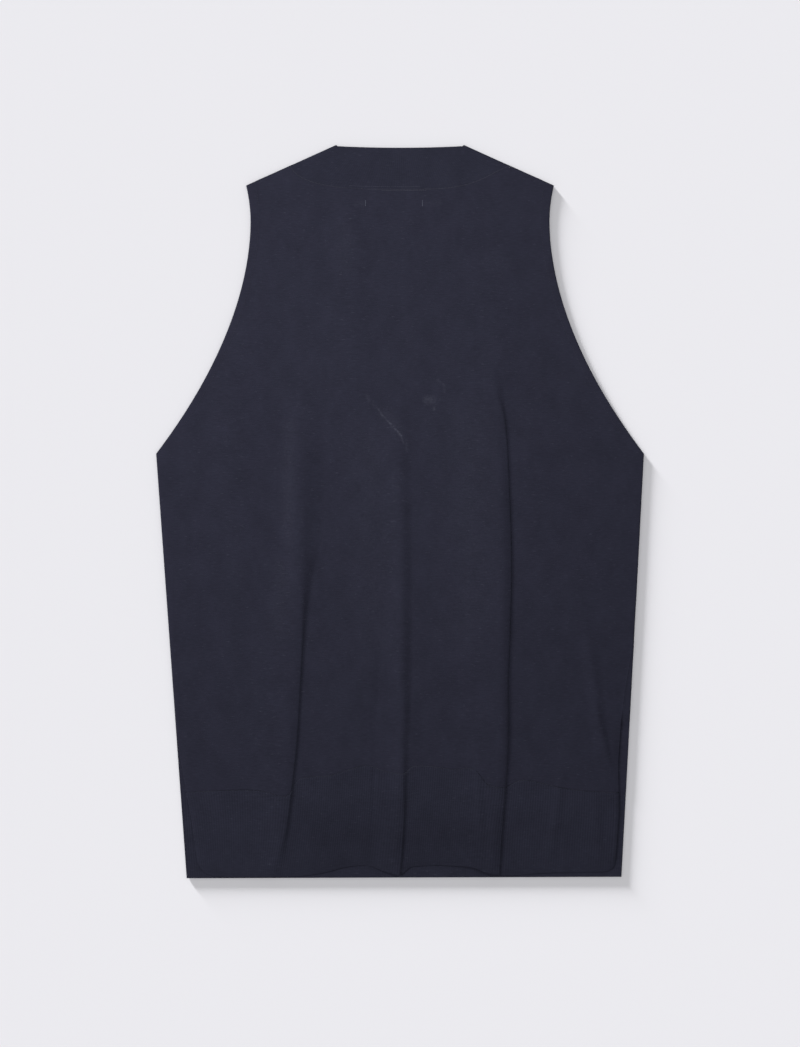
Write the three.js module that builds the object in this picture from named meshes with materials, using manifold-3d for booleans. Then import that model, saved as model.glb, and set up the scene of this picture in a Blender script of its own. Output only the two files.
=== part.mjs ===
// A fine-knit sweater vest with a V neck, lying flat with its back uppermost.
// Millimetres. +Z is up from the surface it lies on, +Y runs from hem to neck, and +X is to the right
// as it is looked down on. The origin is under the middle of the vest, on that surface.
// The front lies below and the back above it, each a wall of cloth, joined at shoulders and side seams.
// "Depth" is a distance down the vest from its neck points, and "level" is the depth of a row's ends.
import * as THREE from "three";
import { mergeVertices } from "three/addons/utils/BufferGeometryUtils.js";
import Module from "manifold-3d";

const wasm = await Module();
wasm.setup();

// Lengths and half widths of the vest
const BODY_LENGTH = 707;
const NECK_HALF = 61;
const SHOULDER_HALF = 148.3;
const SHOULDER_DROP = 39.5;
const ARMHOLE_HALF = 144;
const ARMHOLE_DEPTH = 74.6;
const ARMHOLE_POWER = 1.86;
const CHEST_HALF = 235;
const ARMPIT_DEPTH = 298;
const HEM_HALF = 209.5;
const HEM_SHIFT = 3.9;
const HEM_SEAM_DEPTH = 624.5;

// Neckband: its seam meets the shoulders, dips at the back and comes to a point at the front.
// It is one length of rib, in three solids that part where it folds at the shoulders and at the point.
const BAND_HALF = 106;
const BACK_NECK_DIP = 3;
const BACK_SEAM_DEPTH = 43.3;
const BACK_SEAM_POWER = 3.5;
const FRONT_POINT_DEPTH = 229;
const FRONT_SEAM_DEPTH = 291;
const BAND_RIBS = 80;
const FOLD_STEPS = 4;
const LEG_STEPS = 12;

// Cloth: one wall thickness, the gap kept between pieces, and the raised ribs
const WALL = 1.5;
const GAP = 0.3;
const CURVED_GAP = 0.45;
const RIB_HEIGHT = 0.45;
const BACK_BASE = WALL + GAP;

// Rounded lower corners of the back hem
const LEFT_CORNER = 20;
const RIGHT_CORNER = 11;

// Folds of the back. The cloth stands up on the left of each crease line and falls sharply to it.
// depth and x place the crease, height is how far the cloth stands up, drop how wide its fall is,
// and reach how far to the left the cloth is lifted.
const FOLDS = [
  {
    name: "left",
    reach: 34,
    rows: [
      { depth: 227, x: -75, height: 0, drop: 14 },
      { depth: 285, x: -79, height: 2.2, drop: 16 },
      { depth: 342, x: -85, height: 3.8, drop: 14 },
      { depth: 400, x: -89, height: 4.2, drop: 9 },
      { depth: 458, x: -92, height: 4.2, drop: 4.5 },
      { depth: 525, x: -95.3, height: 4.2, drop: 4.5 },
      { depth: 583, x: -98.2, height: 4.2, drop: 4.5 },
      { depth: 624, x: -104, height: 3.9, drop: 4.5 },
      { depth: 670, x: -109.4, height: 3.3, drop: 5 },
      { depth: 707, x: -114.6, height: 1.8, drop: 8 },
    ],
  },
  {
    name: "centre",
    reach: 28,
    rows: [
      { depth: 275, x: 11.6, height: 0, drop: 14 },
      { depth: 323, x: 10.6, height: 1.9, drop: 16 },
      { depth: 400, x: 11.6, height: 3, drop: 14 },
      { depth: 487, x: 10.6, height: 3.5, drop: 10 },
      { depth: 550, x: 7.2, height: 3.8, drop: 4.5 },
      { depth: 624, x: 6.6, height: 3.8, drop: 4.5 },
      { depth: 657, x: 4.1, height: 3.8, drop: 4.5 },
      { depth: 707, x: 0.5, height: 3.2, drop: 4.5 },
    ],
  },
  {
    name: "right",
    reach: 30,
    rows: [
      { depth: 207, x: 96.3, height: 0, drop: 14 },
      { depth: 246, x: 101, height: 1.9, drop: 8 },
      { depth: 277, x: 103.6, height: 3.2, drop: 4.5 },
      { depth: 342, x: 106.1, height: 4.2, drop: 4.5 },
      { depth: 410, x: 108.3, height: 4.5, drop: 4.5 },
      { depth: 477, x: 107.3, height: 4.8, drop: 4.5 },
      { depth: 525, x: 105, height: 4.8, drop: 4.5 },
      { depth: 590, x: 105, height: 4.8, drop: 5 },
      { depth: 631, x: 102.8, height: 4.5, drop: 4.5 },
      { depth: 670, x: 99.7, height: 4.2, drop: 4.5 },
      { depth: 707, x: 97.3, height: 3.8, drop: 4.5 },
    ],
  },
];

// Broad soft swells of the back, each about a line from its top to its bottom
const SWELLS = [
  { name: "left side", top: 190, bottom: 520, xTop: -160, xBottom: -182, half: 34, height: 1.6 },
  { name: "right of the fold", top: 200, bottom: 470, xTop: 128, xBottom: 134, half: 24, height: 1.1 },
  { name: "by the right slit", top: 500, bottom: 640, xTop: 178, xBottom: 196, half: 13, height: 1.5 },
  { name: "left yoke", top: 30, bottom: 260, xTop: -62, xBottom: -70, half: 38, height: 1 },
  { name: "right yoke", top: 60, bottom: 300, xTop: 74, xBottom: 84, half: 34, height: 0.8 },
];

// How far the back's free or seamed edges lie inside the outline
const EDGE_INSETS = [
  { depth: 440, left: 0, right: 0 },
  { depth: 475, left: 0, right: 0.6 },
  { depth: 507, left: 0, right: 3.7 },
  { depth: 530, left: 0, right: 6.2 },
  { depth: 554, left: 0.3, right: 7.9 },
  { depth: 572, left: 0.9, right: 8.6 },
  { depth: 597, left: 2.6, right: 8.8 },
  { depth: 624, left: 5.2, right: 7 },
  { depth: 650, left: 7.4, right: 5.5 },
  { depth: 671, left: 8.4, right: 5.4 },
  { depth: 707, left: 9.4, right: 5.6 },
];

// The seam between back and hem, and the back hem's lower edge, as depths across the vest
const HEM_SEAM = [
  { x: -210, depth: 624.5 },
  { x: -154, depth: 622 },
  { x: -133, depth: 623 },
  { x: -111, depth: 627.5 },
  { x: -103, depth: 618 },
  { x: -96, depth: 611 },
  { x: -67, depth: 608 },
  { x: -48, depth: 602 },
  { x: -31, depth: 598.5 },
  { x: -14, depth: 604 },
  { x: 3, depth: 606 },
  { x: 14, depth: 599 },
  { x: 53, depth: 602 },
  { x: 72, depth: 602 },
  { x: 84, depth: 617 },
  { x: 101, depth: 619 },
  { x: 118, depth: 612.5 },
  { x: 154, depth: 619.5 },
  { x: 174, depth: 622.5 },
  { x: 208, depth: 624.5 },
];
const HEM_EDGE = [
  { x: -210, depth: 705 },
  { x: -135, depth: 706 },
  { x: -96, depth: 705 },
  { x: -72, depth: 701.5 },
  { x: -53, depth: 696.5 },
  { x: -31, depth: 695 },
  { x: -14, depth: 701 },
  { x: 0, depth: 704 },
  { x: 12, depth: 696 },
  { x: 67, depth: 696 },
  { x: 84, depth: 702 },
  { x: 100, depth: 704.5 },
  { x: 140, depth: 702 },
  { x: 208, depth: 700.5 },
];
const FRONT_HEM_RISE = 1.4;

const CLOTH = new THREE.MeshStandardMaterial({ color: 0x2c2d3a, roughness: 0.92, metalness: 0 });
const RIB = new THREE.MeshStandardMaterial({ color: 0x282933, roughness: 0.94, metalness: 0 });

// Reads a table's column at a key value, on a smooth curve through its rows, flat beyond both ends.
function readTable(rows, key, column, value) {
  const last = rows.length - 1;
  if (value <= rows[0][key]) return rows[0][column];
  if (value >= rows[last][key]) return rows[last][column];
  const i = rows.findIndex((row) => row[key] > value) - 1;
  const slope = (a, b) => (rows[b][column] - rows[a][column]) / (rows[b][key] - rows[a][key]);
  const start = slope(Math.max(i - 1, 0), i + 1);
  const end = slope(i, Math.min(i + 2, last));
  const width = rows[i + 1][key] - rows[i][key];
  const t = (value - rows[i][key]) / width;
  return (
    rows[i][column] * (2 * t ** 3 - 3 * t ** 2 + 1) +
    rows[i + 1][column] * (3 * t ** 2 - 2 * t ** 3) +
    width * (start * (t ** 3 - 2 * t ** 2 + t) + end * (t ** 3 - t ** 2))
  );
}

const smooth = (t) => THREE.MathUtils.smoothstep(t, 0, 1);
const mix = THREE.MathUtils.lerp;
const place = (x, depth, z) => [x, BODY_LENGTH / 2 - depth, z];

// Half the vest's width: along the shoulder, round the armhole, then down the side
function halfWidth(depth) {
  if (depth < SHOULDER_DROP) return mix(NECK_HALF, SHOULDER_HALF, depth / SHOULDER_DROP);
  if (depth < ARMHOLE_DEPTH) {
    const up = (ARMHOLE_DEPTH - depth) / (ARMHOLE_DEPTH - SHOULDER_DROP);
    return ARMHOLE_HALF + (SHOULDER_HALF - ARMHOLE_HALF) * up ** 2;
  }
  if (depth < ARMPIT_DEPTH) {
    const down = (depth - ARMHOLE_DEPTH) / (ARMPIT_DEPTH - ARMHOLE_DEPTH);
    return ARMHOLE_HALF + (CHEST_HALF - ARMHOLE_HALF) * down ** ARMHOLE_POWER;
  }
  return mix(CHEST_HALF, HEM_HALF, (depth - ARMPIT_DEPTH) / (BODY_LENGTH - ARMPIT_DEPTH));
}

// The body leans a little to the right below the armpits.
function lean(depth) {
  return HEM_SHIFT * Math.max(0, (depth - ARMPIT_DEPTH) / (BODY_LENGTH - ARMPIT_DEPTH));
}

// Depth of the shoulder line at a distance from the middle
function shoulderDepth(across) {
  return (SHOULDER_DROP * (across - NECK_HALF)) / (SHOULDER_HALF - NECK_HALF);
}

// Height that folds and swells add to the back, at x on a level
function rise(x, level) {
  let z = 0;
  for (const fold of FOLDS) {
    const left = readTable(fold.rows, "depth", "x", level) - x;
    if (left <= 0 || left >= fold.reach) continue;
    const height = readTable(fold.rows, "depth", "height", level);
    const drop = readTable(fold.rows, "depth", "drop", level);
    z += Math.max(0, height) * (1 - smooth(left / fold.reach)) * smooth(left / drop);
  }
  for (const swell of SWELLS) {
    const along = (level - swell.top) / (swell.bottom - swell.top);
    if (along <= 0 || along >= 1) continue;
    const across = Math.abs(x - mix(swell.xTop, swell.xBottom, along)) / swell.half;
    z += swell.height * Math.sin(Math.PI * along) * (1 - smooth(across));
  }
  return z;
}

// The step over which a slope is measured
const SLOPE_STEP = 0.5;

// Points of the back's wall at x, depth and level: the outer one, and the inner one square below it
function backPoints(x, depth, level, raised = 0) {
  const z = rise(x, level);
  const slope = (rise(x + SLOPE_STEP, level) - rise(x - SLOPE_STEP, level)) / (2 * SLOPE_STEP);
  const long = Math.hypot(slope, 1);
  return {
    outer: place(x, depth, BACK_BASE + WALL / long + z + raised),
    inner: place(x + (WALL * slope) / long, depth, BACK_BASE + z),
  };
}

// Triangles between an edge of few points and an edge of many, where few[i] lies beside many[beside[i]]
function zip(few, many, beside) {
  const triangles = [];
  for (let i = 0; i + 1 < few.length; i++) {
    for (let k = beside[i]; k < beside[i + 1]; k++) triangles.push([few[i], many[k], many[k + 1]]);
    triangles.push([few[i], many[beside[i + 1]], few[i + 1]]);
  }
  return triangles;
}

// A closed wall between a grid of outer points and a grid of inner points with as many rows.
// Inner column i lies beside outer column beside[i]. A ring's last column is joined to its first.
function wallGeometry(outer, inner, { ring = false, beside = inner[0].map((_, i) => i) } = {}) {
  const points = [];
  const index = (grid) => grid.map((row) => row.map((p) => points.push(p) - 1));
  const close = (grid) => (ring ? grid.map((row) => [...row, row[0]]) : grid);
  const out = close(index(outer));
  const back = close(index(inner));
  const triangles = [];
  const skin = (grid, turned) => {
    for (let r = 0; r + 1 < grid.length; r++)
      for (let c = 0; c + 1 < grid[r].length; c++) {
        const [a, b, d, e] = [grid[r][c], grid[r][c + 1], grid[r + 1][c], grid[r + 1][c + 1]];
        if (turned) triangles.push([a, b, e], [a, e, d]);
        else triangles.push([a, e, b], [a, d, e]);
      }
  };
  skin(out, false);
  skin(back, true);
  const turned = ([a, b, c]) => [a, c, b];
  const across = ring ? [...beside, outer[0].length] : beside;
  triangles.push(...zip(back[0], out[0], across), ...zip(back.at(-1), out.at(-1), across).map(turned));
  if (!ring) {
    const column = (grid, end) => grid.map((row) => row.at(end));
    const down = outer.map((_, r) => r);
    triangles.push(...zip(column(back, 0), column(out, 0), down).map(turned));
    triangles.push(...zip(column(back, -1), column(out, -1), down));
  }
  const geometry = new THREE.BufferGeometry();
  geometry.setAttribute("position", new THREE.Float32BufferAttribute(points.flat(), 3));
  geometry.setIndex(triangles.flat());
  return geometry;
}

// The band's fold at each shoulder lies this far inside the shoulder line.
const FOLD_RADIUS = WALL + GAP / 2;
const shoulderLength = Math.hypot(SHOULDER_HALF - NECK_HALF, SHOULDER_DROP);
const inward = {
  x: (-SHOULDER_DROP / shoulderLength) * FOLD_RADIUS,
  depth: ((SHOULDER_HALF - NECK_HALF) / shoulderLength) * FOLD_RADIUS,
};
const foldNeck = { x: NECK_HALF + inward.x, depth: inward.depth };
const foldSeam = { x: BAND_HALF + inward.x, depth: shoulderDepth(BAND_HALF) + inward.depth };

// Depth of the neckband's seam across the back, moved down square to its slope
function backSeamDepth(x, moved = 0) {
  const share = Math.abs(x) / foldSeam.x;
  const fall = BACK_SEAM_DEPTH - foldSeam.depth;
  const slope = (fall * BACK_SEAM_POWER * share ** (BACK_SEAM_POWER - 1)) / foldSeam.x;
  return BACK_SEAM_DEPTH - fall * share ** BACK_SEAM_POWER + moved * Math.hypot(slope, 1);
}

// Top edge of the back panel: the shoulder lines, and the neck seam between them
function backTopDepth(x) {
  const across = Math.abs(x);
  return across < BAND_HALF + CURVED_GAP ? backSeamDepth(across, CURVED_GAP) : shoulderDepth(across);
}

// Columns of the back run between these lines, so that one of them follows each crease.
// A line from each end of the neck seam comes out this share of the way from the side to the fold beside it.
const NECK_LINE_SHARE = 0.5;
function backLines(level) {
  const [left, centre, right] = FOLDS.map((fold) => readTable(fold.rows, "depth", "x", level));
  const leftEdge = lean(level) - halfWidth(level) + readTable(EDGE_INSETS, "depth", "left", level);
  const rightEdge = lean(level) + halfWidth(level) - readTable(EDGE_INSETS, "depth", "right", level);
  const down = smooth((level - SHOULDER_DROP) / (ARMPIT_DEPTH - SHOULDER_DROP));
  const neckLeft = mix(-BAND_HALF - CURVED_GAP, mix(leftEdge, left, NECK_LINE_SHARE), down);
  const neckRight = mix(BAND_HALF + CURVED_GAP, mix(right, rightEdge, NECK_LINE_SHARE), down);
  return { leftEdge, neckLeft, left, centre, right, neckRight, rightEdge };
}

// Columns of the back, in strips between those lines, with each column's width in ribs of the hem
const STRIPS = [
  { from: "leftEdge", to: "neckLeft", ribs: [6, 5, 5, 5] },
  { from: "neckLeft", to: "left", ribs: [1, 5, 5, 4, 3, 1, 1, 1] },
  { from: "left", to: "centre", ribs: [2, 4, 7, 9, 9, 7, 5, 4, 2, 1, 1] },
  { from: "centre", to: "right", ribs: [2, 4, 6, 8, 8, 6, 4, 3, 1, 1, 1] },
  { from: "right", to: "neckRight", ribs: [1, 3, 6, 7, 5, 1] },
  { from: "neckRight", to: "rightEdge", ribs: [6, 6, 6, 5] },
];
const COLUMN_RIBS = STRIPS.flatMap((strip) => strip.ribs);

function backColumns(level) {
  const at = backLines(level);
  const xs = [at.leftEdge];
  for (const { from, to, ribs } of STRIPS) {
    const total = ribs.reduce((sum, n) => sum + n);
    let passed = 0;
    for (const n of ribs) xs.push(mix(at[from], at[to], (passed += n) / total));
  }
  return xs;
}

// Levels of the back panel's rows, from shoulder tip to hem seam, no further apart than ROW_STEP
const ROW_STEP = 26;
function backLevels() {
  const stops = [SHOULDER_DROP, ARMHOLE_DEPTH, ARMPIT_DEPTH, HEM_SEAM_DEPTH];
  const levels = [stops[0]];
  for (let i = 0; i + 1 < stops.length; i++) {
    const count = Math.ceil((stops[i + 1] - stops[i]) / ROW_STEP);
    for (let k = 1; k <= count; k++) levels.push(mix(stops[i], stops[i + 1], k / count));
  }
  return levels;
}

// Depth of the hem seam at each column, moved up or down square to its slope
function hemSeam(moved) {
  return backColumns(HEM_SEAM_DEPTH).map((x) => {
    const seam = (at) => readTable(HEM_SEAM, "x", "depth", at);
    const slope = (seam(x + SLOPE_STEP) - seam(x - SLOPE_STEP)) / (2 * SLOPE_STEP);
    return seam(x) + moved * Math.hypot(slope, 1);
  });
}

// Back panel: one piece of plain knit from neck seam to hem seam, with the folds it lies in
function backPanel() {
  const topColumns = backColumns(SHOULDER_DROP);
  const seam = hemSeam(-GAP / 2);
  const rows = backLevels().map((level) => {
    const share = (level - SHOULDER_DROP) / (HEM_SEAM_DEPTH - SHOULDER_DROP);
    return backColumns(level).map((x, c) => {
      const top = backTopDepth(topColumns[c]);
      return backPoints(x, mix(top, seam[c], share), level);
    });
  });
  const grid = (side) => rows.map((row) => row.map((points) => points[side]));
  return wallGeometry(grid("outer"), grid("inner"));
}

// Lower edge of the back hem, with its corners rounded
function hemEdgeDepth(x, leftEdge, rightEdge) {
  const rounded = (radius, inside) =>
    inside >= radius ? 0 : radius - Math.sqrt(radius ** 2 - (radius - Math.max(inside, 0)) ** 2);
  const lifted = rounded(LEFT_CORNER, x - leftEdge) + rounded(RIGHT_CORNER, rightEdge - x);
  return readTable(HEM_EDGE, "x", "depth", x) - lifted;
}

// Back hem: a ribbed band, its ribs raised on the outer points over a plain inside.
// Each of the back's columns holds a whole number of ribs, and each rib has two outer columns.
const HEM_ROWS = 4;
function backHem() {
  const seam = hemSeam(GAP / 2);
  const bottom = backColumns(BODY_LENGTH);
  const fine = (values) => [
    values[0],
    ...COLUMN_RIBS.flatMap((n, i) =>
      Array.from({ length: 2 * n }, (_, k) => mix(values[i], values[i + 1], (k + 1) / (2 * n))),
    ),
  ];
  const outer = [];
  const inner = [];
  for (let r = 0; r <= HEM_ROWS; r++) {
    const share = r / HEM_ROWS;
    const level = mix(HEM_SEAM_DEPTH, BODY_LENGTH, share);
    const row = (spread) => {
      const [xs, tops, ends] = [backColumns(level), seam, bottom].map(spread);
      return xs.map((x, c) => {
        const edge = hemEdgeDepth(ends[c], ends[0], ends.at(-1));
        return backPoints(x, mix(tops[c], edge, share), level, c % 2 ? RIB_HEIGHT : 0);
      });
    };
    outer.push(row(fine).map((p) => p.outer));
    inner.push(row((values) => values).map((p) => p.inner));
  }
  const beside = COLUMN_RIBS.reduce((list, n) => [...list, list.at(-1) + 2 * n], [0]);
  return wallGeometry(outer, inner, { beside });
}

// One front leg's neck edge and seam, at a share of the way from shoulder to point
function legEdges(share) {
  const narrow = 1 - share ** 2;
  return {
    neck: { x: foldNeck.x * narrow, depth: mix(foldNeck.depth, FRONT_POINT_DEPTH, share) },
    seam: { x: foldSeam.x * narrow, depth: mix(foldSeam.depth, FRONT_SEAM_DEPTH, share) },
  };
}

// A row of points across the band from neck edge to seam, at one height
const BAND_ACROSS = 2;
function bandRow(neck, seam, z) {
  return Array.from({ length: BAND_ACROSS + 1 }, (_, k) =>
    place(mix(neck.x, seam.x, k / BAND_ACROSS), mix(neck.depth, seam.depth, k / BAND_ACROSS), z),
  );
}

// A wall through rows across the band, each with an outer and an inner row
function bandWall(rows) {
  const grid = (side) => Array.from({ length: BAND_ACROSS + 1 }, (_, k) => rows.map((row) => row[side][k]));
  return wallGeometry(grid("outer"), grid("inner"));
}

// Neckband across the back, on top, its ribs raised. It ends a gap before its folds at the shoulders.
function bandBack() {
  const steps = 2 * BAND_RIBS;
  const neckEnd = foldNeck.x - 2 * GAP;
  const seamEnd = foldSeam.x - GAP;
  const rows = Array.from({ length: steps + 1 }, (_, i) => {
    const share = (2 * i) / steps - 1;
    const neck = { x: neckEnd * share, depth: mix(BACK_NECK_DIP, foldNeck.depth, share ** 2) };
    const seam = { x: seamEnd * share, depth: backSeamDepth(seamEnd * share) };
    const top = BACK_BASE + WALL + (i % 2 ? RIB_HEIGHT : 0);
    return { outer: bandRow(neck, seam, top), inner: bandRow(neck, seam, BACK_BASE) };
  });
  return bandWall(rows);
}

// One front leg of the neckband: it folds over at the shoulder and runs below to the point of the V,
// where the two legs meet edge to edge. side is -1 for left and 1 for right.
function bandLeg(side) {
  const rows = [];
  for (let k = 0; k <= FOLD_STEPS; k++) {
    const angle = (Math.PI * k) / FOLD_STEPS;
    const turned = (radius) => {
      const out = (radius / FOLD_RADIUS) * Math.sin(angle);
      const moved = (at) => ({ x: side * (at.x - inward.x * out), depth: at.depth - inward.depth * out });
      return bandRow(moved(foldNeck), moved(foldSeam), FOLD_RADIUS + radius * Math.cos(angle));
    };
    rows.push({ outer: turned(FOLD_RADIUS), inner: turned(GAP / 2) });
  }
  for (let k = 1; k <= LEG_STEPS; k++) {
    const { neck, seam } = legEdges(k / LEG_STEPS);
    const clear = ({ x, depth }) => ({ x: side * Math.max(x, GAP / 2), depth });
    const row = (z) => bandRow(clear(neck), clear(seam), z);
    rows.push({ outer: row(0), inner: row(WALL) });
  }
  return bandWall(side < 0 ? rows.reverse() : rows);
}

// A flat plate of cloth between two heights, from an outline of [x, depth] points
function plate(outline, low, high) {
  const shape = new THREE.Shape(outline.map(([x, depth]) => new THREE.Vector2(x, BODY_LENGTH / 2 - depth)));
  const geometry = new THREE.ExtrudeGeometry(shape, { depth: high - low, bevelEnabled: false });
  return geometry.translate(0, 0, low);
}

// A closed geometry as a solid that can be joined, and back again. Corners closer than this are one.
const SAME_POINT = 0.001;
function solid(geometry) {
  const bare = geometry.clone();
  bare.deleteAttribute("normal");
  bare.deleteAttribute("uv");
  const merged = mergeVertices(bare, SAME_POINT);
  return new wasm.Manifold(
    new wasm.Mesh({
      numProp: 3,
      vertProperties: new Float32Array(merged.attributes.position.array),
      triVerts: new Uint32Array(merged.index.array),
    }),
  );
}

function geometryOf(made) {
  const mesh = made.getMesh();
  const geometry = new THREE.BufferGeometry();
  geometry.setAttribute("position", new THREE.BufferAttribute(mesh.vertProperties, 3));
  return geometry.setIndex(new THREE.BufferAttribute(mesh.triVerts, 1));
}

// Points down one side of the outline between two depths; side is -1 for left and 1 for right
function sidePoints(side, from, to, steps) {
  return Array.from({ length: steps + 1 }, (_, k) => {
    const depth = mix(from, to, k / steps);
    return [lean(depth) + side * halfWidth(depth), depth];
  });
}

// The front's neck seam, just outside the band's own seam, from shoulder to point
function frontNeckPoints(side) {
  const points = [];
  for (let k = 0; k <= LEG_STEPS; k++) {
    const { seam } = legEdges(k / LEG_STEPS);
    const before = legEdges(Math.max(k - 1, 0) / LEG_STEPS).seam;
    const after = legEdges(Math.min(k + 1, LEG_STEPS) / LEG_STEPS).seam;
    const run = Math.hypot(after.x - before.x, after.depth - before.depth);
    const out = { x: (after.depth - before.depth) / run, depth: (before.x - after.x) / run };
    points.push([side * (seam.x + CURVED_GAP * out.x), seam.depth + CURVED_GAP * out.depth]);
  }
  points[LEG_STEPS] = [0, FRONT_SEAM_DEPTH + 2 * CURVED_GAP];
  return [[side * (BAND_HALF + CURVED_GAP), shoulderDepth(BAND_HALF + CURVED_GAP)], ...points];
}

// Below the right armpit the front's edge turns over on to the back, as far as the side seam.
// from and to are depths, least is its narrowest width, and bite how far it sinks into the panel.
const TURNED_EDGE = { from: 480, to: 566, steps: 8, least: 0.4, bite: 0.5 };
function turnedEdge() {
  const outside = sidePoints(1, TURNED_EDGE.from, TURNED_EDGE.to, TURNED_EDGE.steps);
  const inside = outside.map(([x, depth]) => {
    const inset = readTable(EDGE_INSETS, "depth", "right", depth) - 2 * GAP;
    return [x - Math.max(TURNED_EDGE.least, inset), depth];
  });
  return plate([...outside, ...inside.reverse()], WALL - TURNED_EDGE.bite, BACK_BASE + WALL);
}

// Front panel: one piece of plain knit, cut to the V
const SHOULDER_STEPS = 3;
const ARMHOLE_STEPS = 12;
function frontPanel() {
  const side = (s) => [
    ...sidePoints(s, SHOULDER_DROP, ARMHOLE_DEPTH, SHOULDER_STEPS),
    ...sidePoints(s, ARMHOLE_DEPTH, ARMPIT_DEPTH, ARMHOLE_STEPS).slice(1),
    [lean(HEM_SEAM_DEPTH) + s * halfWidth(HEM_SEAM_DEPTH), HEM_SEAM_DEPTH - GAP / 2],
  ];
  const neck = [...frontNeckPoints(1), ...frontNeckPoints(-1).reverse().slice(1)];
  const outline = [...side(-1), ...side(1).reverse(), ...neck];
  return geometryOf(solid(plate(outline, 0, WALL)).add(solid(turnedEdge())));
}

// Front hem: a ribbed band below the front, flat on the surface and longer than the back hem
function frontHem() {
  const top = HEM_SEAM_DEPTH + GAP / 2;
  const left = sidePoints(-1, top, BODY_LENGTH, 1);
  const right = sidePoints(1, top, BODY_LENGTH - FRONT_HEM_RISE, 1);
  return plate([...left, ...right.reverse()], 0, WALL);
}

const vest = new THREE.Group();
const pieces = [
  ["front_panel", frontPanel(), CLOTH],
  ["front_hem", frontHem(), RIB],
  ["back_panel", backPanel(), CLOTH],
  ["back_hem", backHem(), RIB],
  ["neckband_back", bandBack(), RIB],
  ["neckband_left", bandLeg(-1), RIB],
  ["neckband_right", bandLeg(1), RIB],
];
for (const [name, geometry, material] of pieces) {
  geometry.computeVertexNormals();
  const mesh = new THREE.Mesh(geometry, material);
  mesh.name = name;
  vest.add(mesh);
}

export default vest;
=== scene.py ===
import bpy
import numpy as np
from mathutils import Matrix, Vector


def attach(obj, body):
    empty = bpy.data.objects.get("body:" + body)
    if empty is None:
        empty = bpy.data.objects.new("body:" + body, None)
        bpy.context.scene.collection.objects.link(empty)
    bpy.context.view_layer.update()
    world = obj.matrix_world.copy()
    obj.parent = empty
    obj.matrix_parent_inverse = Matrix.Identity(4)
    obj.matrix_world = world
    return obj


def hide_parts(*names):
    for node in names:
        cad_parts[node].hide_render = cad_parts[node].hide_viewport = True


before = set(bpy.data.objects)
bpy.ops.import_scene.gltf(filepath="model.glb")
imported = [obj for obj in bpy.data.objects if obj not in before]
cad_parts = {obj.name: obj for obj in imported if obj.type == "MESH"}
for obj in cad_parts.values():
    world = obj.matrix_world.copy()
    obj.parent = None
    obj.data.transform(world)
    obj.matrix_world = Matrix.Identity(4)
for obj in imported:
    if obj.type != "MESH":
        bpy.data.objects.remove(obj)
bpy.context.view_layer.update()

# Camera: straight down over the vest as it lies on its front, framed as an upright picture.
# Lengths in this file are millimetres, and depths are measured down the vest from its neck points.
MM = 0.001
IMAGE_HEIGHT_PX = 1047
MM_PER_PX = 0.963
VIEW_MIDDLE_Y = -11.6
CLOTH_TOP = 3.3
LENS_MM = 85.0
SENSOR_MM = 36.0
camera_data = bpy.data.cameras.new("camera")
camera_data.lens = LENS_MM
camera_data.sensor_width = SENSOR_MM
camera = bpy.data.objects.new("camera", camera_data)
camera_height = IMAGE_HEIGHT_PX * MM_PER_PX * LENS_MM / SENSOR_MM + CLOTH_TOP
camera.location = Vector((0.0, VIEW_MIDDLE_Y, camera_height)) * MM
bpy.context.scene.collection.objects.link(camera)
bpy.context.scene.camera = camera

# Front: one piece of fine plain knit, cut out to a deep V. It lies face down, flat on the floor, under
# the back, and below the right armpit its edge wraps over on to the back as far as the side seam.
BODY_LENGTH = 707.0
NECK_HALF, SHOULDER_HALF, SHOULDER_DROP = 61.0, 148.3, 39.5
ARMHOLE_HALF, ARMHOLE_DEPTH, ARMHOLE_POWER = 144.0, 74.6, 1.86
CHEST_HALF, ARMPIT_DEPTH = 235.0, 298.0
HEM_HALF, HEM_SHIFT, HEM_SEAM_DEPTH = 209.5, 3.9, 624.5
BAND_HALF, FRONT_SEAM_DEPTH, FRONT_POINT_DEPTH = 106.0, 291.0, 229.0
WALL, GAP, CURVED_GAP, SEWN_GAP = 1.5, 0.3, 0.45, 0.08
BACK_BASE = WALL + GAP
FOLD_RADIUS = WALL + GAP / 2
EDGE_ROUND = 1.4
# Distances from an edge at which its roundness is drawn
EDGE_STEPS = np.array([0.0, 0.2, 0.5, 0.9, 1.4])
# depth, then how far the back's left and right edges lie inside the front's outline
EDGE_INSETS = [
    (440, 0, 0), (475, 0, 0.6), (507, 0, 3.7), (530, 0, 6.2),
    (554, 0.3, 7.9), (572, 0.9, 8.6), (597, 2.6, 8.8), (624, 5.2, 7.0),
    (650, 7.4, 5.5), (671, 8.4, 5.4), (707, 9.4, 5.6),
]


def half_width(depth):
    """Half the vest's width at a depth: a straight shoulder, an armhole that is a parabola above its
    narrowest place and a power curve below it, then a straight side."""
    shoulder = NECK_HALF + (SHOULDER_HALF - NECK_HALF) * depth / SHOULDER_DROP
    up = (ARMHOLE_DEPTH - depth) / (ARMHOLE_DEPTH - SHOULDER_DROP)
    down = np.clip((depth - ARMHOLE_DEPTH) / (ARMPIT_DEPTH - ARMHOLE_DEPTH), 0, 1)
    side = (depth - ARMPIT_DEPTH) / (BODY_LENGTH - ARMPIT_DEPTH)
    return np.select(
        [depth < SHOULDER_DROP, depth < ARMHOLE_DEPTH, depth < ARMPIT_DEPTH],
        [
            shoulder,
            ARMHOLE_HALF + (SHOULDER_HALF - ARMHOLE_HALF) * up**2,
            ARMHOLE_HALF + (CHEST_HALF - ARMHOLE_HALF) * down**ARMHOLE_POWER,
        ],
        CHEST_HALF + (HEM_HALF - CHEST_HALF) * side,
    )


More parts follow.
